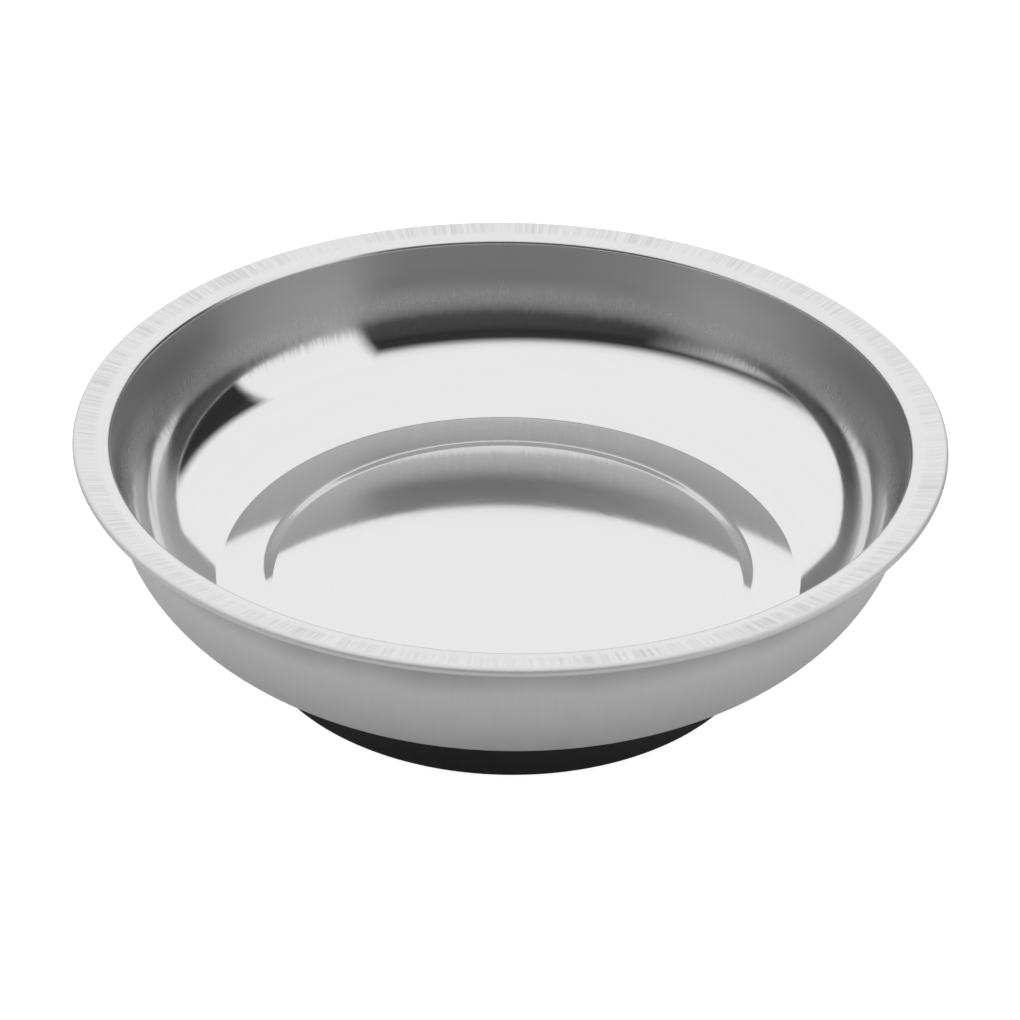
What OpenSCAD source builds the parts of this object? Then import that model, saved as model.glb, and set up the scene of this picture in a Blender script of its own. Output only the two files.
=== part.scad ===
// Round magnetic parts tray: a pressed stainless dish with a hemmed lip, standing on
// a ring magnet in a rubber boot that one nut on a weld stud holds under the dish.
// Millimetres, +Z up, origin at the middle of the face that the boot stands on.

/* [Dish] */
// Outer diameter over the hemmed lip
rim_d = 150; // [120:1:190]
// Width of the lip, from the outer edge to the top of the wall
lip_w = 6.3; // [6:0.05:9]
// Rise of the lip towards its outer edge, in degrees
lip_slope = 12; // [0:1:20]
// Thickness of the stainless sheet
sheet = 0.6; // [0.5:0.05:0.8]
// Width of the edge that is folded back under the lip
hem_w = 4.2; // [2.5:0.1:4.6]
// Gap left inside the fold of the hem
hem_gap = 0.5; // [0.1:0.05:0.7]
// Bend radius between the lip and the wall, on the upper skin
mouth_bend = 1.2; // [1:0.1:1.8]
// Length of the straight wall below the lip
wall_len = 6.6; // [4:0.2:12]
// Slope of the straight wall, in degrees from level
wall_slope = 88; // [78:0.5:90]
// Radius of the turn from the wall into the bowl
knuckle_r = 19.3; // [10:0.1:26]
// Slope where the turn ends and the bowl begins, in degrees
bowl_top_slope = 58.5; // [50:0.5:68]
// Radius of the bowl
bowl_r = 37.8; // [32:0.1:44]
// Slope at the foot of the bowl, in degrees
bowl_foot_slope = 30; // [25:0.5:40]
// Radius of the crease between the bowl and the floor
crease_r = 2; // [1:0.1:4]
// Fall of the floor towards the centre panel, in degrees
floor_fall = 6; // [0:0.5:8]
// Width of the floor, from the crease to the ring round the panel
floor_w = 6.9; // [3:0.1:16]

/* [Centre panel] */
// Rise of the ring that lifts the panel above the floor, in degrees
ring_slope = 8; // [4:0.5:12]
// Length of the straight part of that rise
ring_run = 1.2; // [0.4:0.1:2]
// Radius of both bends of the ring
ring_r = 5; // [2:0.1:8]

/* [Ring magnet] */
// Bore of the ferrite ring
magnet_bore = 38; // [34:0.5:56]
// Thickness of the ferrite ring
magnet_t = 7.3; // [5:0.1:14]
// How far the magnet's edge stays inside the ring round the panel
magnet_inset = 1; // [0.5:0.1:1.8]
// Chamfer on the edges of the ferrite ring
magnet_chamfer = 0.5; // [0.2:0.1:1]

/* [Rubber boot] */
// Wall of the boot round the magnet
boot_wall = 2.4; // [1.8:0.1:4]
// Thickness of the boot under the magnet
boot_floor = 1.4; // [1:0.1:3]
// Thickness of the lip that is clamped between magnet and dish
boot_lip_t = 0.8; // [0.6:0.1:1.6]
// Width of that lip, inwards from the wall
boot_lip_w = 7; // [5:0.5:12]
// Opening in the underside that leaves the nut in reach
boot_hole_d = 34; // [32:0.5:50]
// Round on the outer edges of the boot
boot_edge_r = 0.6; // [0.3:0.1:1.3]
// Room between the boot and the magnet, and between the boot and the dish
boot_clear = 0.1; // [0.05:0.05:0.3]

/* [Pole plate] */
// Thickness of the steel plate
plate_t = 1; // [0.8:0.1:1.6]
// How far the plate's edge stays inside the magnet's
plate_inset = 0.4; // [0.2:0.1:2]
// Outer diameter of the well that rises into the magnet's bore
well_d = 29; // [26:0.5:32]
// Slope of the side of the well, in degrees
well_slope = 75; // [65:1:85]
// Bend radius of the well, on the tighter skin
well_bend = 0.6; // [0.3:0.1:0.9]
// Gap between the top of the well and the dish, drawn up as the nut is tightened
well_gap = 0.9; // [0.85:0.05:1.2]

/* [Stud, washers and nut] */
// Diameter of the weld stud's thread
stud_d = 5; // [4:0.5:5.5]
// Diameter of the stud's welded flange
flange_d = 7; // [6.5:0.1:9]
// Thickness of the stud's welded flange
flange_t = 0.8; // [0.5:0.05:0.85]
// How far the stud stands out of the nut
stud_tail = 0.5; // [0.2:0.1:0.8]
// Room round the stud in the plate and in the flat washer, on the diameter
stud_clear = 0.5; // [0.3:0.1:1]
// Room round the stud in the nut and in the spring washer, on the diameter
thread_clear = 0.1; // [0.05:0.05:0.3]
// Outer diameter of the flat washer
washer_d = 10; // [9:0.1:12]
// Thickness of the flat washer
washer_t = 1; // [0.8:0.1:1.2]
// Width of the spring washer's wire
spring_w = 2; // [1.2:0.1:2.2]
// Thickness of the spring washer, pressed flat
spring_t = 1.2; // [0.8:0.1:1.3]
// Slit in the spring washer
spring_slit = 0.8; // [0.4:0.1:1.5]
// Width of the nut across its flats
nut_af = 8; // [7.5:0.1:10]
// Height of the thin nut
nut_t = 2.7; // [2:0.1:2.8]

/* [Hidden] */
$fn = 180;
// How far the chords of a bend may stay from its true arc
arc_sag = 0.005;

// Levels, from the face that the boot stands on
plate_z = boot_floor;
magnet_z = plate_z + plate_t;
boot_lip_z = magnet_z + magnet_t;
panel_under_z = boot_lip_z + boot_lip_t + boot_clear;
well_top_z = panel_under_z - well_gap;
washer_top_z = well_top_z - plate_t;
spring_top_z = washer_top_z - washer_t;
nut_top_z = spring_top_z - spring_t;
nut_under_z = nut_top_z - nut_t;
stud_end_z = nut_under_z - stud_tail;

// Radii
rim_r = rim_d / 2;
mouth_r = rim_r - lip_w;
stud_r = stud_d / 2;
clear_r = (stud_d + stud_clear) / 2;
thread_r = (stud_d + thread_clear) / 2;

// A skin that runs inwards at slope s has this direction and this upward normal
function along(s) = [-cos(s), -sin(s)];
function normal(s) = [-sin(s), cos(s)];
// Bends of a sheet, given on its upper skin; t is the depth below that skin
function slopes(r, s0, s1) =
    let (n = ceil(abs(s1 - s0) / (2 * acos(1 - arc_sag / r))))
    [for (i = [0 : n]) s0 + (s1 - s0) * i / n];
function crest(c, r, s0, s1, t) = [for (s = slopes(r, s0, s1)) c + (r - t) * normal(s)];
function trough(c, r, s0, s1, t) = [for (s = slopes(r, s0, s1)) c - (r + t) * normal(s)];
function flipped(points) = [for (i = [len(points) - 1 : -1 : 0]) points[i]];

// Dish, followed from the hem to the axis with the top of the lip at height 0
hem_h = 2 * sheet + hem_gap;
hem_c = [rim_r - hem_h / 2, -hem_h / 2];
hem_end = (hem_w - hem_h / 2) * along(lip_slope);
lip_start = hem_c + hem_h / 2 * normal(lip_slope);
mouth_x = mouth_r + mouth_bend * sin(wall_slope);
lip_run = (lip_start.x + mouth_bend * sin(lip_slope) - mouth_x) / cos(lip_slope);
mouth_c = lip_start + lip_run * along(lip_slope) - mouth_bend * normal(lip_slope);
wall_foot = mouth_c + mouth_bend * normal(wall_slope) + wall_len * along(wall_slope);
knuckle_c = wall_foot + knuckle_r * normal(wall_slope);
bowl_c = knuckle_c + (bowl_r - knuckle_r) * normal(bowl_top_slope);
crease_c = bowl_c + (crease_r - bowl_r) * normal(bowl_foot_slope);
floor_start = crease_c - crease_r * normal(floor_fall);
floor_end = floor_start + floor_w / cos(floor_fall) * along(floor_fall);
ring_foot_c = floor_end + ring_r * normal(floor_fall);
ring_head = ring_foot_c - ring_r * normal(-ring_slope) + ring_run * along(-ring_slope);
ring_head_c = ring_head - ring_r * normal(-ring_slope);
panel_edge = ring_head_c + [0, ring_r];
dish_depth = -panel_edge.y;
rim_z = panel_under_z + sheet + dish_depth;

// The magnet reaches out towards the ring round the panel, and the boot wraps it there
magnet_r = floor_end.x - magnet_inset;
boot_in_r = magnet_r + boot_clear;
boot_r = boot_in_r + boot_wall;

// Skin of the ring and the panel at depth t, from the end of the floor to the axis
function floor_skin(t) = concat(
    trough(ring_foot_c, ring_r, floor_fall, -ring_slope, t),
    crest(ring_head_c, ring_r, -ring_slope, 0, t),
    [[0, panel_edge.y - t]]);
// Whole skin of the dish at depth t
function dish_skin(t) = concat(
    [hem_c + (t - hem_h / 2) * normal(lip_slope) + hem_end],
    crest(hem_c, hem_h / 2, lip_slope - 180, lip_slope, t),
    crest(mouth_c, mouth_bend, lip_slope, wall_slope, t),
    trough(knuckle_c, knuckle_r, wall_slope, bowl_top_slope, t),
    trough(bowl_c, bowl_r, bowl_top_slope, bowl_foot_slope, t),
    trough(crease_c, crease_r, bowl_foot_slope, floor_fall, t),
    floor_skin(t));

// Pole plate, followed from its edge to the stud on the upper skin
well_r = well_d / 2;
plate_top = [well_r, magnet_z];
well_rise = well_top_z - magnet_z;
well_head = plate_top + well_rise / sin(well_slope) * [-cos(well_slope), sin(well_slope)];
well_foot_c = plate_top + [well_bend * tan(well_slope / 2), well_bend];
well_over_r = well_bend + plate_t;
well_head_c = well_head - [well_over_r * tan(well_slope / 2), well_over_r];
function plate_skin(t) = concat(
    [[magnet_r - plate_inset, magnet_z - t]],
    trough(well_foot_c, well_bend, 0, -well_slope, t),
    crest(well_head_c, well_over_r, -well_slope, 0, t),
    [[clear_r, well_top_z - t]]);

// Flat ring between two radii, from height z up
module ring(r_out, r_in, z, h) {
    translate([0, 0, z])
        difference() {
            cylinder(r = r_out, h = h);
            translate([0, 0, -h]) cylinder(r = r_in, h = 3 * h);
        }
}

// Pressed sheet: lip with a folded hem, wall, bowl, floor and centre panel
module dish() {
    color("silver")
        translate([0, 0, rim_z])
            rotate_extrude() polygon(concat(dish_skin(0), flipped(dish_skin(sheet))));
}

// Stud welded under the middle of the panel, so that no head shows inside the dish
module weld_stud() {
    tip = stud_d / 8;
    color("lightsteelblue")
        rotate_extrude()
            polygon([[0, panel_under_z], [flange_d / 2, panel_under_z],
                     [flange_d / 2, panel_under_z - flange_t], [stud_r, panel_under_z - flange_t],
                     [stud_r, stud_end_z + tip], [stud_r - tip, stud_end_z], [0, stud_end_z]]);
}

module ring_magnet() {
    c = magnet_chamfer;
    bore_r = magnet_bore / 2;
    color("dimgray")
        translate([0, 0, magnet_z])
            rotate_extrude()
                polygon([[bore_r + c, 0], [magnet_r - c, 0], [magnet_r, c],
                         [magnet_r, magnet_t - c], [magnet_r - c, magnet_t],
                         [bore_r + c, magnet_t], [bore_r, magnet_t - c], [bore_r, c]]);
}

// Steel plate that covers the magnet's lower pole and takes the nut in its well
module pole_plate() {
    color("lightgray")
        rotate_extrude() polygon(concat(plate_skin(0), flipped(plate_skin(plate_t))));
}

module flat_washer() {
    color("gainsboro") ring(washer_d / 2, clear_r, washer_top_z - washer_t, washer_t);
}

// Split ring, drawn as it lies pressed flat under the nut
module spring_washer() {
    reach = thread_r + spring_w;
    color("slategray")
        difference() {
            ring(reach, thread_r, spring_top_z - spring_t, spring_t);
            translate([0, -spring_slit / 2, spring_top_z - 2 * spring_t])
                cube([2 * reach, spring_slit, 3 * spring_t]);
        }
}

// Thin hexagon nut with both faces chamfered at the corners
module hex_nut() {
    corner_r = nut_af / 2 / cos(30);
    face_r = 0.95 * nut_af / 2;
    fall = (corner_r - face_r) * tan(30);
    color("gainsboro")
        translate([0, 0, nut_under_z])
            difference() {
                intersection() {
                    cylinder(r = corner_r, h = nut_t, $fn = 6);
                    rotate_extrude()
                        polygon([[0, 0], [face_r, 0], [corner_r, fall],
                                 [corner_r, nut_t - fall], [face_r, nut_t], [0, nut_t]]);
                }
                translate([0, 0, -nut_t]) cylinder(r = thread_r, h = 3 * nut_t);
            }
}

// Moulded boot: floor with an opening, wall, clamped lip and a collar that nests
// round the ring under the dish
module rubber_boot() {
    e = boot_edge_r;
    seat = sheet + boot_clear;
    lip_r = boot_in_r - boot_lip_w;
    hole_r = boot_hole_d / 2;
    collar_z = rim_z + floor_end.y - seat / cos(floor_fall)
             + (boot_r - e - floor_end.x) * tan(floor_fall);
    nest = [for (p = floor_skin(seat)) if (p.x > lip_r) [p.x, p.y + rim_z]];
    color([0.09, 0.09, 0.09])
        rotate_extrude()
            polygon(concat(
                [[hole_r, e / 2], [hole_r + e / 2, 0]],
                [for (a = [-90 : 15 : 0]) [boot_r - e + e * cos(a), e + e * sin(a)]],
                [for (a = [0 : 15 : 90]) [boot_r - e + e * cos(a), collar_z - e + e * sin(a)]],
                nest,
                [[lip_r, panel_under_z - boot_clear], [lip_r, boot_lip_z],
                 [boot_in_r, boot_lip_z], [boot_in_r, boot_floor], [hole_r, boot_floor]]));
}

dish();
weld_stud();
ring_magnet();
pole_plate();
flat_washer();
spring_washer();
hex_nut();
rubber_boot();
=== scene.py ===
# Looks of a round magnetic parts tray: a pressed stainless dish on a booted ring magnet.
import math

import bmesh
import bpy
from mathutils import Matrix, Vector


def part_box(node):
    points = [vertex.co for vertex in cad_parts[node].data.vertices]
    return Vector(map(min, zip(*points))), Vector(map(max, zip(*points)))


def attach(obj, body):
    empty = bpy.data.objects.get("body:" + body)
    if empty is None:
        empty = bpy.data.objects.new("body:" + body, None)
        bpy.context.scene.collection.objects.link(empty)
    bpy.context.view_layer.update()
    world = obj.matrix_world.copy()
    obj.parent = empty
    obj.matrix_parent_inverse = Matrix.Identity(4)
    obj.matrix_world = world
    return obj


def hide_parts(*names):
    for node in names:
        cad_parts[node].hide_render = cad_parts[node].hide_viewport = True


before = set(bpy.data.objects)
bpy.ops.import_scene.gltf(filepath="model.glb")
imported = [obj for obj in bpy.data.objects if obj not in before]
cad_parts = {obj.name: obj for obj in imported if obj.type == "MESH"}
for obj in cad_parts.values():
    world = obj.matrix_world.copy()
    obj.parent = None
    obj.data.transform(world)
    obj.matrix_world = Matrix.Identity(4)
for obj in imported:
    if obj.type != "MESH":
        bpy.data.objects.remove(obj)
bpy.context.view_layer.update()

# Lengths are millimetres and angles degrees, unless a name says otherwise
MM = 0.001
ROUND_STEPS = 256
FULL_TURN = 2 * math.pi

# Boxes of the solids: all pieces are round about Z, so the high corner holds radius and top
boxes = {name: [Vector(corner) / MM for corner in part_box(name)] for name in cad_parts}
RIM_R = boxes["dish"][1].x
RIM_Z = boxes["dish"][1].z
BOOT_R = boxes["rubber_boot"][1].x
PLATE_R = boxes["pole_plate"][1].x
PLATE_Z = boxes["pole_plate"][0].z
WELL_TOP_Z = boxes["pole_plate"][1].z

# Pressed dish. Between the wall and the crease the bowl is up to 0.74 mm fuller than the solid's.
LIP_W = 6.3
LIP_SLOPE = 12.0
SHEET = 0.6
HEM_W = 4.2
HEM_GAP = 0.5
HEM_R = SHEET + HEM_GAP / 2
MOUTH_BEND = 1.2
WALL_LEN = 6.54
WALL_SLOPE = 88.0
KNUCKLE_R = 23.9
BOWL_TOP_SLOPE = 36.0
BOWL_R = 54.0
BOWL_FOOT_SLOPE = 28.0
CREASE_R = 2.0
FLOOR_FALL = 6.0
FLOOR_W = 6.9
RING_R = 5.0
RING_SLOPE = 8.0
RING_RUN = 1.2
# The panel springs back into a faint dome, which the solid lacks: its slope at the edge
PANEL_LEAN = 1.6

# Depths below the rim: the lip ends, the satin starts, the polish starts and is full, and the
# outside's painted shade under the hem is full and fades out
LIP_DEPTH = 1.9
SATIN_FROM = 4.0
POLISH_FROM = 13.4
POLISH_TO = 18.8
PAINTED_HEM_SHADE_FROM = 3.0
PAINTED_HEM_SHADE_TO = 9.0
# How far the edges of the polish and of the painted shade under the hem wander up and down
POLISH_WANDER = 2.4
PAINTED_HEM_SHADE_WANDER = 3.0
# Distances in from the rim's edge between which the nicks and the turned-over edge set in
NICKS_FROM = 4.6
NICKS_TO = 3.2
EDGE_FROM = 1.3
EDGE_TO = 0.4
NICK_DEPTH = 0.03
# Marks of each finish: their spacing round the axis and their length across it
BRUSH_MARKS = (0.6, 12.0)
BUFFING_RINGS = (40.0, 0.5)
ROLLER_NICKS = (0.7, 6.0)
WORN_PATCHES = (14.0, 20.0)
FINE_DRAW_LINES = (0.9, 22.0)
BROAD_DRAW_LINES = (9.0, 30.0)
# Noise hardly leaves this range
NOISE_LOW = 0.3
NOISE_HIGH = 0.7

# Rubber boot
BOOT_WALL = 2.4
BOOT_FLOOR = 1.4
BOOT_LIP_T = 0.8
BOOT_LIP_W = 7.0
BOOT_HOLE_R = 17.0
BOOT_EDGE_R = 0.6
BOOT_CLEAR = 0.1

# Pole plate, washers and the room round the stud
PLATE_T = 1.0
WELL_R = 14.5
WELL_SLOPE = 75.0
WELL_BEND = 0.6
STUD_HOLE_R = 2.75
THREAD_HOLE_R = 2.55
WASHER_EDGE_R = 0.15
SPRING_EDGE_R = 0.12
SPRING_SLIT = 0.8


def along(slope):
    """Direction of a line that runs inwards and falls by a slope."""
    return Vector((-math.cos(math.radians(slope)), 0, -math.sin(math.radians(slope))))


def normal(slope):
    """Upward normal of such a line."""
    return Vector((-math.sin(math.radians(slope)), 0, math.cos(math.radians(slope))))


# Drawing a section: its tip runs straight or is bent round a centre
def run(bm, tip, length, slope):
    """Draws a straight stretch and returns its end."""
    made = bmesh.ops.extrude_vert_indiv(bm, verts=[tip])["verts"][0]
    bmesh.ops.translate(bm, verts=[made], vec=length * MM * along(slope))
    return made


def bend(bm, tip, radius, slope_from, slope_to, segments):
    """Turns the line from one slope to another and returns the end of the bend."""
    side = -1 if slope_to > slope_from else 1
    centre = tip.co + side * radius * MM * normal(slope_from)
    made = bmesh.ops.spin(bm, geom=[tip], cent=centre, axis=(0, 1, 0), steps=segments,
                          angle=math.radians(slope_from - slope_to), use_merge=False)
    return [v for v in made["geom_last"] if isinstance(v, bmesh.types.BMVert)][0]


def turned(bm):
    """Spins the drawn section a full turn about the axis and closes its seam."""
    bmesh.ops.spin(bm, geom=bm.verts[:] + bm.edges[:], cent=(0, 0, 0), axis=(0, 0, 1),
                   angle=FULL_TURN, steps=ROUND_STEPS, use_merge=True)
    bmesh.ops.remove_doubles(bm, verts=bm.verts[:], dist=1e-7)
    bmesh.ops.recalc_face_normals(bm, faces=bm.faces[:])


def thickened(bm, thickness):
    """Gives an upper skin its thickness below and returns the faces that this adds."""
    innermost = min(bm.faces, key=lambda face: face.calc_center_median().xy.length)
    if innermost.normal.z < 0:
        bmesh.ops.reverse_faces(bm, faces=bm.faces[:])
    made = bmesh.ops.solidify(bm, geom=bm.faces[:], thickness=thickness * MM)
    return [face for face in made["geom"] if isinstance(face, bmesh.types.BMFace)]


def finished(bm, name, node, materials):
    """Makes the smooth object that stands for a solid and carries it on the tray's one body."""
    for face in bm.faces:
        face.smooth = True
    for edge in bm.edges:
        edge.smooth = edge.calc_face_angle(0) < math.radians(40)
    mesh = bpy.data.meshes.new(name)
    bm.to_mesh(mesh)
    bm.free()
    for material in materials:
        mesh.materials.append(material)
    piece = bpy.data.objects.new(name, mesh)
    bpy.context.scene.collection.objects.link(piece)
    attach(piece, "root")
    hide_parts(node)
    return piece


# Materials
def linear(hex_colour):
    """An sRGB hex colour as the linear values that shader sockets take."""
    parts = [int(hex_colour[i:i + 2], 16) / 255 for i in (1, 3, 5)]
    return [p / 12.92 if p <= 0.04045 else ((p + 0.055) / 1.055) ** 2.4 for p in parts] + [1.0]


def add(tree, kind, inputs=None, **settings):
    """Adds one node with its settings; inputs holds values or sockets by name or number."""
    made = tree.nodes.new(kind)
    for name, value in settings.items():
        setattr(made, name, value)
    for key, value in (inputs or {}).items():
        if isinstance(value, bpy.types.NodeSocket):
            tree.links.new(value, made.inputs[key])
        else:
            made.inputs[key].default_value = value
    return made


def surface(name, inputs):
    """Starts a material and sets its shader's constant inputs."""
    material = bpy.data.materials.new(name)
    material.use_nodes = True
    shader = material.node_tree.nodes["Principled BSDF"]
    for key, value in inputs.items():
        shader.inputs[key].default_value = value
    return material, material.node_tree, shader


def places(tree):
    """A point's direction from the axis as a unit vector, its distance and its height, in mm."""
    point = add(tree, "ShaderNodeTexCoord").outputs["Object"]
    in_mm = add(tree, "ShaderNodeVectorMath", {0: point, "Scale": 1 / MM}, operation="SCALE").outputs[0]
    flat = add(tree, "ShaderNodeVectorMath", {0: in_mm, 1: (1, 1, 0)}, operation="MULTIPLY").outputs[0]
    direction = add(tree, "ShaderNodeVectorMath", {0: flat}, operation="NORMALIZE").outputs[0]
    distance = add(tree, "ShaderNodeVectorMath", {0: flat}, operation="LENGTH").outputs["Value"]
    height = add(tree, "ShaderNodeSeparateXYZ", {0: in_mm}).outputs[2]
    return direction, distance, height


def streaks(tree, direction, height, radius, spacing, length):
    """Noise with marks a spacing apart round the axis at a radius, and a length up the wall, or
    inwards where a distance from the axis is given as the height."""
    around = add(tree, "ShaderNodeVectorMath", {0: direction, "Scale": radius / spacing},
                 operation="SCALE").outputs[0]
    upward = add(tree, "ShaderNodeMath", {0: height, 1: 1 / length}, operation="MULTIPLY").outputs[0]
    lifted = add(tree, "ShaderNodeCombineXYZ", {2: upward}).outputs[0]
    spot = add(tree, "ShaderNodeVectorMath", {0: around, 1: lifted}).outputs[0]
    return add(tree, "ShaderNodeTexNoise", {"Vector": spot, "Scale": 1.0, "Detail": 3.0}).outputs[0]


def brushed_round(tree, shader):
    """Stretches the highlights of steel across marks that run about the axis."""
    tangent = add(tree, "ShaderNodeTangent", direction_type="RADIAL", axis="Z")
    tree.links.new(tangent.outputs[0], shader.inputs["Tangent"])


def inside_stainless():
    """Stainless sheet, satin on the wall and buffed bright in the bowl: the polish starts in
    short streaks that run up the wall, and the bowl mirrors the room with faint rings of the
    buffing wheel."""
    material, tree, shader = surface("satin_and_buffed_stainless", {
        "Metallic": 1.0, "Anisotropic": 0.7, "Anisotropic Rotation": 0.25})
    brushed_round(tree, shader)
    direction, distance, height = places(tree)
    marks = streaks(tree, direction, height, RIM_R - LIP_W, *BRUSH_MARKS)
    rings = streaks(tree, direction, distance, RIM_R, *BUFFING_RINGS)
    ragged = add(tree, "ShaderNodeMath", {0: marks, 1: POLISH_WANDER, 2: height},
                 operation="MULTIPLY_ADD").outputs[0]
    middle = POLISH_WANDER / 2
    polish = add(tree, "ShaderNodeMapRange", {0: ragged, 1: RIM_Z - POLISH_FROM + middle,
                                              2: RIM_Z - POLISH_TO + middle},
                 interpolation_type="SMOOTHSTEP").outputs[0]
    finer = add(tree, "ShaderNodeMapRange", {0: height, 1: RIM_Z - SATIN_FROM,
                                             2: RIM_Z - POLISH_FROM}).outputs[0]
    satin = add(tree, "ShaderNodeMix", {0: finer, 2: 0.31, 3: 0.22}).outputs[0]
    brushed = add(tree, "ShaderNodeMath", {0: marks, 1: 0.1, 2: satin},
                  operation="MULTIPLY_ADD").outputs[0]
    buffed = add(tree, "ShaderNodeMapRange", {0: rings, 1: NOISE_LOW, 2: NOISE_HIGH,
                                              3: 0.05, 4: 0.08}).outputs[0]
    rough = add(tree, "ShaderNodeMix", {0: polish, 2: brushed, 3: buffed}).outputs[0]
    tree.links.new(rough, shader.inputs["Roughness"])
    bared = add(tree, "ShaderNodeMix", {0: finer, 6: linear("#b2b2b2"), 7: linear("#bcbcbc")},
                data_type="RGBA").outputs[2]
    bright = add(tree, "ShaderNodeMapRange", {0: polish, 1: 0.6, 2: 1.0}).outputs[0]
    shine = add(tree, "ShaderNodeMix", {0: rings, 6: linear("#e6e6e6"), 7: linear("#e9e9e9")},
                data_type="RGBA").outputs[2]
    tint = add(tree, "ShaderNodeMix", {0: bright, 6: bared, 7: shine},
               data_type="RGBA").outputs[2]
    tree.links.new(tint, shader.inputs["Base Color"])
    return material


def lip_stainless():
    """The same sheet where it is rolled into the hem: the rollers leave fine nicks across the
    middle of the lip, and matt the edge that they turn over."""
    material, tree, shader = surface("rolled_lip_stainless", {"Metallic": 1.0})
    direction, distance, height = places(tree)
    nicks = streaks(tree, direction, height, RIM_R, *ROLLER_NICKS)
    patches = streaks(tree, direction, height, RIM_R, *WORN_PATCHES)
    outer = add(tree, "ShaderNodeMapRange", {0: distance, 1: RIM_R - NICKS_FROM, 2: RIM_R - NICKS_TO},
                interpolation_type="SMOOTHSTEP").outputs[0]
    turned_over = add(tree, "ShaderNodeMapRange", {0: distance, 1: RIM_R - EDGE_FROM, 2: RIM_R - EDGE_TO},
                      interpolation_type="SMOOTHSTEP").outputs[0]
    across = add(tree, "ShaderNodeMath", {0: outer, 1: turned_over}, operation="SUBTRACT").outputs[0]
    worn = add(tree, "ShaderNodeMapRange", {0: patches, 1: 0.35, 2: 0.65, 3: 0.3, 4: 1.0}).outputs[0]
    depth = add(tree, "ShaderNodeMath", {0: across, 1: worn}, operation="MULTIPLY").outputs[0]
    cut = add(tree, "ShaderNodeMapRange", {0: nicks, 1: 0.4, 2: 0.62}).outputs[0]
    mark = add(tree, "ShaderNodeMath", {0: cut, 1: depth}, operation="MULTIPLY").outputs[0]
    tint = add(tree, "ShaderNodeMix", {0: mark, 6: linear("#e4e4e4"), 7: linear("#d0d0d0")},
               data_type="RGBA").outputs[2]
    tree.links.new(tint, shader.inputs["Base Color"])
    nicked = add(tree, "ShaderNodeMapRange", {0: mark, 3: 0.24, 4: 0.4}).outputs[0]
    rough = add(tree, "ShaderNodeMix", {0: turned_over, 2: nicked, 3: 0.55}).outputs[0]
    tree.links.new(rough, shader.inputs["Roughness"])
    relief = add(tree, "ShaderNodeBump", {"Height": mark, "Strength": 0.3, "Distance": NICK_DEPTH * MM},
                 invert=True)
    tree.links.new(relief.outputs[0], shader.inputs["Normal"])
    return material


def outside_stainless():
    """The outside of the pressing keeps the mill's satin, with faint marks of the draw. Close
    under the hem its colour is darkened to grey: painted shade of the hem."""
    material, tree, shader = surface("drawn_outside_stainless", {
        "Metallic": 1.0, "Anisotropic": 0.5, "Anisotropic Rotation": 0.25})
    brushed_round(tree, shader)
    direction, _, height = places(tree)
    fine = streaks(tree, direction, height, RIM_R, *FINE_DRAW_LINES)
    broad = streaks(tree, direction, height, RIM_R, *BROAD_DRAW_LINES)
    both = add(tree, "ShaderNodeMix", {0: 0.4, 2: fine, 3: broad}).outputs[0]
    brushed = add(tree, "ShaderNodeMix", {0: both, 6: linear("#d2d2d2"), 7: linear("#dedede")},
                  data_type="RGBA").outputs[2]
    # Painted shade under the hem: the colour darkens to grey #b4b4b4 towards the rim, with a wandering
    # edge
    clear = add(tree, "ShaderNodeMath", {0: broad, 1: PAINTED_HEM_SHADE_WANDER, 2: height},
                operation="MULTIPLY_ADD").outputs[0]
    painted_hem_shade = add(tree, "ShaderNodeMapRange", {0: clear, 1: RIM_Z - PAINTED_HEM_SHADE_TO, 2: RIM_Z - PAINTED_HEM_SHADE_FROM},
               interpolation_type="SMOOTHSTEP").outputs[0]
    tint = add(tree, "ShaderNodeMix", {0: painted_hem_shade, 6: brushed, 7: linear("#b4b4b4")},
               data_type="RGBA").outputs[2]
    tree.links.new(tint, shader.inputs["Base Color"])
    rough = add(tree, "ShaderNodeMapRange", {0: both, 1: NOISE_LOW, 2: NOISE_HIGH,
                                             3: 0.32, 4: 0.4}).outputs[0]
    tree.links.new(rough, shader.inputs["Roughness"])
    return material


def grained(name, dark, light, rough_low, rough_high, grain, relief, metallic):
    """A cast, moulded or plated skin: two near shades and two gloss levels, mixed by its grain."""
    material, tree, shader = surface(name, {"Metallic": metallic})
    point = add(tree, "ShaderNodeTexCoord").outputs["Object"]
    grains = add(tree, "ShaderNodeTexNoise", {"Vector": point, "Scale": 1 / (grain * MM),
                                              "Detail": 4.0}).outputs[0]
    spread = add(tree, "ShaderNodeMapRange", {0: grains, 1: NOISE_LOW, 2: NOISE_HIGH}).outputs[0]
    tint = add(tree, "ShaderNodeMix", {0: spread, 6: linear(dark), 7: linear(light)},
               data_type="RGBA").outputs[2]
    tree.links.new(tint, shader.inputs["Base Color"])
    rough = add(tree, "ShaderNodeMapRange", {0: spread, 3: rough_low, 4: rough_high}).outputs[0]
    tree.links.new(rough, shader.inputs["Roughness"])
    bumps = add(tree, "ShaderNodeBump", {"Height": grains, "Strength": 0.6, "Distance": relief * MM})
    tree.links.new(bumps.outputs[0], shader.inputs["Normal"])
    return material


dish_skins = [inside_stainless(), lip_stainless(), outside_stainless()]
INSIDE, LIP, OUTSIDE = range(3)
# Natural rubber off a blasted mould: matt black with a fine grain, drawn coarse enough to show
rubber = grained("moulded_black_rubber", "#1c1c1c", "#282828", 0.5, 0.68, 0.5, 0.03, 0.0)
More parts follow.
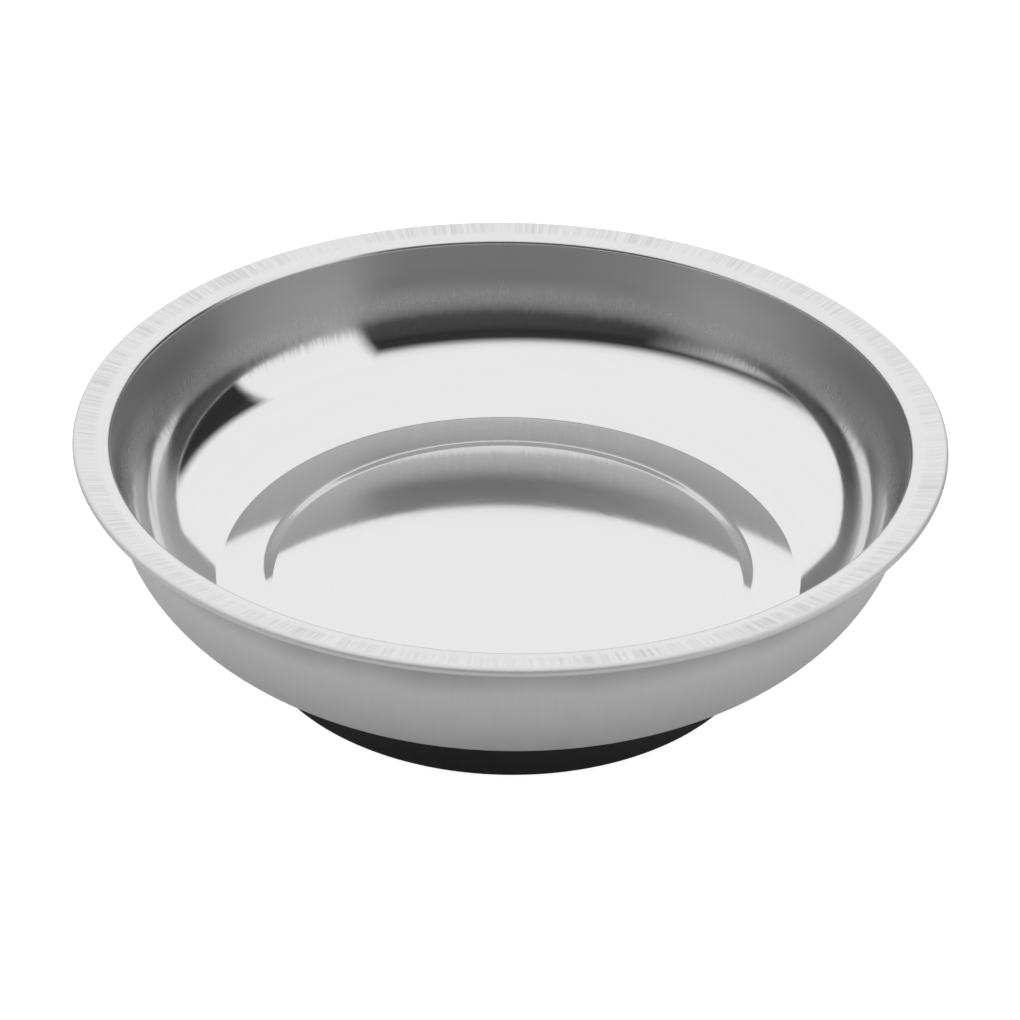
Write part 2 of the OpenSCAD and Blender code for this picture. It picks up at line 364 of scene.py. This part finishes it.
# Sintered ferrite with ground faces: a dull charcoal grey with fine pores
ferrite = grained("ground_ferrite", "#262628", "#38383a", 0.55, 0.75, 0.4, 0.02, 0.0)
# Bright zinc plate on soft steel: a bluish white shine with cloudy patches
zinc = grained("bright_zinc_plate", "#aeb4bb", "#c6cacf", 0.2, 0.34, 1.6, 0.004, 1.0)
# Tempered spring wire under dull zinc
spring_steel = grained("dull_zinc_spring_steel", "#777a80", "#92959a", 0.3, 0.45, 0.8, 0.004, 1.0)


# Pressed dish, drawn from the folded hem to the axis on its upper skin
def make_dish():
    bm = bmesh.new()
    hem_run = HEM_W - HEM_R
    hem_centre = Vector((RIM_R - HEM_R, 0, RIM_Z - HEM_R))
    tip = bm.verts.new(MM * (hem_centre - HEM_R * normal(LIP_SLOPE) + hem_run * along(LIP_SLOPE)))
    tip = run(bm, tip, hem_run, LIP_SLOPE - 180)
    tip = bend(bm, tip, HEM_R, LIP_SLOPE - 180, LIP_SLOPE, 16)
    mouth_x = RIM_R - LIP_W - MOUTH_BEND * normal(WALL_SLOPE).x
    lip_reach = tip.co.x / MM + MOUTH_BEND * -normal(LIP_SLOPE).x - mouth_x
    tip = run(bm, tip, lip_reach / math.cos(math.radians(LIP_SLOPE)), LIP_SLOPE)
    tip = bend(bm, tip, MOUTH_BEND, LIP_SLOPE, WALL_SLOPE, 12)
    tip = run(bm, tip, WALL_LEN, WALL_SLOPE)
    tip = bend(bm, tip, KNUCKLE_R, WALL_SLOPE, BOWL_TOP_SLOPE, 28)
    tip = bend(bm, tip, BOWL_R, BOWL_TOP_SLOPE, BOWL_FOOT_SLOPE, 12)
    tip = bend(bm, tip, CREASE_R, BOWL_FOOT_SLOPE, FLOOR_FALL, 10)
    tip = run(bm, tip, FLOOR_W / math.cos(math.radians(FLOOR_FALL)), FLOOR_FALL)
    floor_end = tip.co / MM
    tip = bend(bm, tip, RING_R, FLOOR_FALL, -RING_SLOPE, 8)
    tip = run(bm, tip, RING_RUN, -RING_SLOPE)
    tip = bend(bm, tip, RING_R, -RING_SLOPE, -PANEL_LEAN, 8)
    panel_edge = tip.co.copy()
    tip = bend(bm, tip, tip.co.x / MM / math.sin(math.radians(PANEL_LEAN)), -PANEL_LEAN, 0, 12)
    tip.co.x = 0
    turned(bm)
    for face in bm.faces:
        middle = face.calc_center_median()
        on_lip = middle.z > (RIM_Z - LIP_DEPTH) * MM or middle.xy.length > (RIM_R - HEM_W) * MM
        face.material_index = LIP if on_lip else INSIDE
    for face in thickened(bm, SHEET):
        face.material_index = OUTSIDE
    # The stud is welded to a flat underside
    for vert in bm.verts:
        if vert.co.xy.length < panel_edge.x and vert.co.z < panel_edge.z:
            vert.co.z = panel_edge.z - SHEET * MM
    finished(bm, "pressed_dish", "dish", dish_skins)
    return floor_end


# Rubber boot, drawn from the opening in its underside, round the outside, along the dish and
# back through the pocket that holds the magnet and the plate
def make_boot(floor_end):
    bm = bmesh.new()
    seat = SHEET + BOOT_CLEAR
    edge = BOOT_EDGE_R
    pocket_r = BOOT_R - BOOT_WALL
    lip_r = pocket_r - BOOT_LIP_W
    nest = floor_end - seat * normal(FLOOR_FALL)
    shoulder = nest - edge * normal(FLOOR_FALL)
    shoulder_z = shoulder.z + (BOOT_R - edge - shoulder.x) * math.tan(math.radians(FLOOR_FALL))
    opening = bm.verts.new(MM * Vector((BOOT_HOLE_R, 0, edge / 2)))
    tip = run(bm, opening, edge / math.sqrt(2), 135)
    tip = run(bm, tip, BOOT_R - edge - tip.co.x / MM, 180)
    tip = bend(bm, tip, edge, 180, 270, 6)
    tip = run(bm, tip, shoulder_z - edge, 270)
    tip = bend(bm, tip, edge, 270, 360 + FLOOR_FALL, 6)
    tip = run(bm, tip, (tip.co / MM - nest).length, FLOOR_FALL)
    tip = bend(bm, tip, RING_R + seat, FLOOR_FALL, -RING_SLOPE, 8)
    tip = run(bm, tip, RING_RUN, -RING_SLOPE)
    tip = bend(bm, tip, RING_R - seat, -RING_SLOPE, 0, 8)
    tip = run(bm, tip, tip.co.x / MM - lip_r, 0)
    tip = run(bm, tip, BOOT_LIP_T, 90)
    tip = run(bm, tip, pocket_r - lip_r, 180)
    tip = run(bm, tip, tip.co.z / MM - BOOT_FLOOR, 90)
    tip = run(bm, tip, pocket_r - BOOT_HOLE_R, 0)
    bm.edges.new((tip, opening))
    turned(bm)
    finished(bm, "moulded_boot", "rubber_boot", [rubber])


# Pole plate, drawn from its edge up the well to the stud on its upper skin
def make_plate():
    bm = bmesh.new()
    over = WELL_BEND + PLATE_T
    tuck = math.tan(math.radians(WELL_SLOPE / 2))
    flat_z = PLATE_Z + PLATE_T
    bends_rise = (WELL_BEND + over) * (1 - math.cos(math.radians(WELL_SLOPE)))
    tip = bm.verts.new(MM * Vector((PLATE_R, 0, flat_z)))
    tip = run(bm, tip, PLATE_R - WELL_R - WELL_BEND * tuck, 0)
    tip = bend(bm, tip, WELL_BEND, 0, -WELL_SLOPE, 6)
    wall_rise = WELL_TOP_Z - flat_z - bends_rise
    tip = run(bm, tip, wall_rise / math.sin(math.radians(WELL_SLOPE)), -WELL_SLOPE)
    tip = bend(bm, tip, over, -WELL_SLOPE, 0, 8)
    tip = run(bm, tip, tip.co.x / MM - STUD_HOLE_R, 0)
    turned(bm)
    thickened(bm, PLATE_T)
    finished(bm, "pressed_pole_plate", "pole_plate", [zinc])


def draw_ring(bm, low, high, hole_r, edge):
    """Draws the section of a flat ring with rounded edges, inside a solid's box."""
    width = high.x - hole_r - 2 * edge
    rise = high.z - low.z - 2 * edge
    tip = bm.verts.new(MM * Vector((hole_r + edge, 0, low.z)))
    for turn, length in enumerate((width, rise, width, rise)):
        tip = run(bm, tip, length, 180 + 90 * turn)
        tip = bend(bm, tip, edge, 180 + 90 * turn, 270 + 90 * turn, 3)


def make_flat_washer():
    bm = bmesh.new()
    draw_ring(bm, *boxes["flat_washer"], STUD_HOLE_R, WASHER_EDGE_R)
    turned(bm)
    finished(bm, "stamped_flat_washer", "flat_washer", [zinc])


# The spring washer is spun up to its slit, which lies at +X, and both ends are closed
def make_spring_washer():
    bm = bmesh.new()
    low, high = boxes["spring_washer"]
    reach = -low.x
    draw_ring(bm, low, Vector((reach, 0, high.z)), THREAD_HOLE_R, SPRING_EDGE_R)
    bmesh.ops.remove_doubles(bm, verts=bm.verts[:], dist=1e-7)
    half_slit = math.asin(SPRING_SLIT / (reach + THREAD_HOLE_R))
    bmesh.ops.rotate(bm, verts=bm.verts[:], cent=(0, 0, 0), matrix=Matrix.Rotation(half_slit, 3, "Z"))
    bmesh.ops.spin(bm, geom=bm.verts[:] + bm.edges[:], cent=(0, 0, 0), axis=(0, 0, 1),
                   angle=FULL_TURN - 2 * half_slit, steps=96, use_merge=False)
    bmesh.ops.holes_fill(bm, edges=[edge for edge in bm.edges if edge.is_boundary])
    bmesh.ops.recalc_face_normals(bm, faces=bm.faces[:])
    finished(bm, "split_spring_washer", "spring_washer", [spring_steel])


floor_end = make_dish()
make_boot(floor_end)
make_plate()
make_flat_washer()
make_spring_washer()
for node, finish in (("ring_magnet", ferrite), ("weld_stud", zinc), ("hex_nut", zinc)):
    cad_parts[node].data.materials.clear()
    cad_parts[node].data.materials.append(finish)

# Floor: white to the camera, dark in the metal, grey to the light, and clear from below, so that
# the underside of the tray shows. It lies a hair under the boot.
FLOOR_WHITE = 0.9
FLOOR_IN_METAL = 0.12
FLOOR_DROP = 0.03
FLOOR_HALF = 600.0
floor_bm = bmesh.new()
bmesh.ops.create_grid(floor_bm, x_segments=1, y_segments=1, size=FLOOR_HALF * MM,
                      matrix=Matrix.Translation((0, 0, -FLOOR_DROP * MM)))
floor_mesh = bpy.data.meshes.new("floor")
floor_bm.to_mesh(floor_mesh)
floor_bm.free()
floor = bpy.data.objects.new("floor", floor_mesh)
bpy.context.scene.collection.objects.link(floor)
paper, paper_tree, paper_shader = surface("floor_paper", {
    "Base Color": linear("#cccccc"), "Roughness": 1.0, "Specular IOR Level": 0.0,
    "Emission Color": linear("#ffffff")})
rays = add(paper_tree, "ShaderNodeLightPath").outputs
mirrored = add(paper_tree, "ShaderNodeMath", {0: rays["Is Glossy Ray"], 1: rays["Is Transmission Ray"]},
               operation="MAXIMUM").outputs[0]
in_metal = add(paper_tree, "ShaderNodeMath", {0: mirrored, 1: FLOOR_IN_METAL},
               operation="MULTIPLY").outputs[0]
glow = add(paper_tree, "ShaderNodeMath", {0: rays["Is Camera Ray"], 1: FLOOR_WHITE, 2: in_metal},
           operation="MULTIPLY_ADD").outputs[0]
paper_tree.links.new(glow, paper_shader.inputs["Emission Strength"])
from_below = add(paper_tree, "ShaderNodeNewGeometry").outputs["Backfacing"]
clear = add(paper_tree, "ShaderNodeBsdfTransparent").outputs[0]
one_sided = add(paper_tree, "ShaderNodeMixShader", {0: from_below, 1: paper_shader.outputs[0],
                                                    2: clear}).outputs[0]
paper_tree.links.new(one_sided, paper_tree.nodes["Material Output"].inputs["Surface"])
floor_mesh.materials.append(paper)

# World: a white light tent that leans back over the tray and is open to a dark room behind the
# camera. TENT goes by height along the leaning axis, the others by compass angle from the far side.
TENT_AXIS = (-0.08, 0.357, 0.931)
TENT = [(-0.3, 0.14), (-0.19, 0.12), (-0.02, 0.07), (0.1, 0.05), (0.16, 0.02), (0.25, 0.03),
        (0.30, 0.4), (0.35, 0.88), (0.43, 1.0)]
STRIP_LIGHT = [(88.0, 0.0), (90.5, 1.0), (130.0, 1.0), (135.0, 0.0)]
SIDE_FILL = [(-140.0, 0.0), (-118.0, 0.4), (-105.0, 0.62), (-88.0, 0.45), (-70.0, 0.05), (-50.0, 0.0)]
FILL_TOP = (0.19, 0.25)
# A black flag hangs in the tent beside the strip light
FLAG = [(40.0, 0.0), (52.0, 1.0), (86.0, 1.0), (92.0, 0.0)]
FLAG_TOP = (0.4, 0.47)
FLAG_GREY = 0.03


def ramp(tree, factor, stops, low, high):
    """A grey ramp over a range, with brightness given at some places in it."""
    share = add(tree, "ShaderNodeMapRange", {0: factor, 1: low, 2: high}).outputs[0]
    made = add(tree, "ShaderNodeValToRGB", {0: share})
    elements = made.color_ramp.elements
    elements.remove(elements[1])
    for i, (at, value) in enumerate(stops):
        position = (at - low) / (high - low)
        element = elements[0] if i == 0 else elements.new(position)
        element.position = position
        element.color = (value, value, value, 1)
    return made.outputs[0]


world = bpy.data.worlds.new("light_tent")
bpy.context.scene.world = world
world.use_nodes = True
sky = world.node_tree
heading = add(sky, "ShaderNodeTexCoord").outputs["Generated"]
lean = add(sky, "ShaderNodeVectorMath", {0: heading, 1: TENT_AXIS},
           operation="DOT_PRODUCT").outputs["Value"]
tent = ramp(sky, lean, TENT, -1, 1)
apart = add(sky, "ShaderNodeSeparateXYZ", {0: heading}).outputs
turn = add(sky, "ShaderNodeMath", {0: apart["X"], 1: apart["Y"]}, operation="ARCTAN2").outputs[0]
compass = add(sky, "ShaderNodeMath", {0: turn}, operation="DEGREES").outputs[0]
flag = ramp(sky, compass, FLAG, -180, 180)
under = add(sky, "ShaderNodeMapRange", {0: lean, 1: FLAG_TOP[0], 2: FLAG_TOP[1],
                                        3: 1.0, 4: 0.0}).outputs[0]
black = add(sky, "ShaderNodeMath", {0: flag, 1: under}, operation="MULTIPLY").outputs[0]
open_part = add(sky, "ShaderNodeMath", {0: 1.0, 1: black}, operation="SUBTRACT").outputs[0]
shaded = add(sky, "ShaderNodeMath", {0: tent, 1: open_part}, operation="MULTIPLY").outputs[0]
flagged = add(sky, "ShaderNodeMath", {0: shaded, 1: FLAG_GREY}, operation="MAXIMUM").outputs[0]
strip = ramp(sky, compass, STRIP_LIGHT, -180, 180)
fill = ramp(sky, compass, SIDE_FILL, -180, 180)
below = add(sky, "ShaderNodeMapRange", {0: lean, 1: FILL_TOP[0], 2: FILL_TOP[1],
                                        3: 1.0, 4: 0.0}).outputs[0]
low_fill = add(sky, "ShaderNodeMath", {0: fill, 1: below}, operation="MULTIPLY").outputs[0]
sides = add(sky, "ShaderNodeMath", {0: strip, 1: low_fill}, operation="MAXIMUM").outputs[0]
studio = add(sky, "ShaderNodeMath", {0: sides, 1: flagged}, operation="MAXIMUM").outputs[0]
seen = add(sky, "ShaderNodeLightPath").outputs["Is Camera Ray"]
shown = add(sky, "ShaderNodeMath", {0: studio, 1: seen}, operation="MAXIMUM").outputs[0]
sky.links.new(shown, sky.nodes["Background"].inputs["Color"])

# Camera at the photograph's place, looking along +Y and down
CAM_DIST = 450.0
CAM_ELEV = 32.58
CAM_ROLL = 1.0
AIM = Vector((0.1, 0, RIM_Z - 19.81))
PX_PER_MM = 5.653
FRAME_PX = 1020
camera_data = bpy.data.cameras.new("camera")
camera = bpy.data.objects.new("camera", camera_data)
bpy.context.scene.collection.objects.link(camera)
camera_data.sensor_width = 36.0
camera_data.lens = PX_PER_MM * CAM_DIST / FRAME_PX * camera_data.sensor_width
look = Vector((0, math.cos(math.radians(CAM_ELEV)), -math.sin(math.radians(CAM_ELEV))))
camera.matrix_world = (Matrix.Translation((AIM - look * CAM_DIST) * MM)
                       @ look.to_track_quat("-Z", "Y").to_matrix().to_4x4()
                       @ Matrix.Rotation(math.radians(CAM_ROLL), 4, "Z"))
bpy.context.scene.camera = camera
bpy.context.scene.view_settings.view_transform = "Standard"
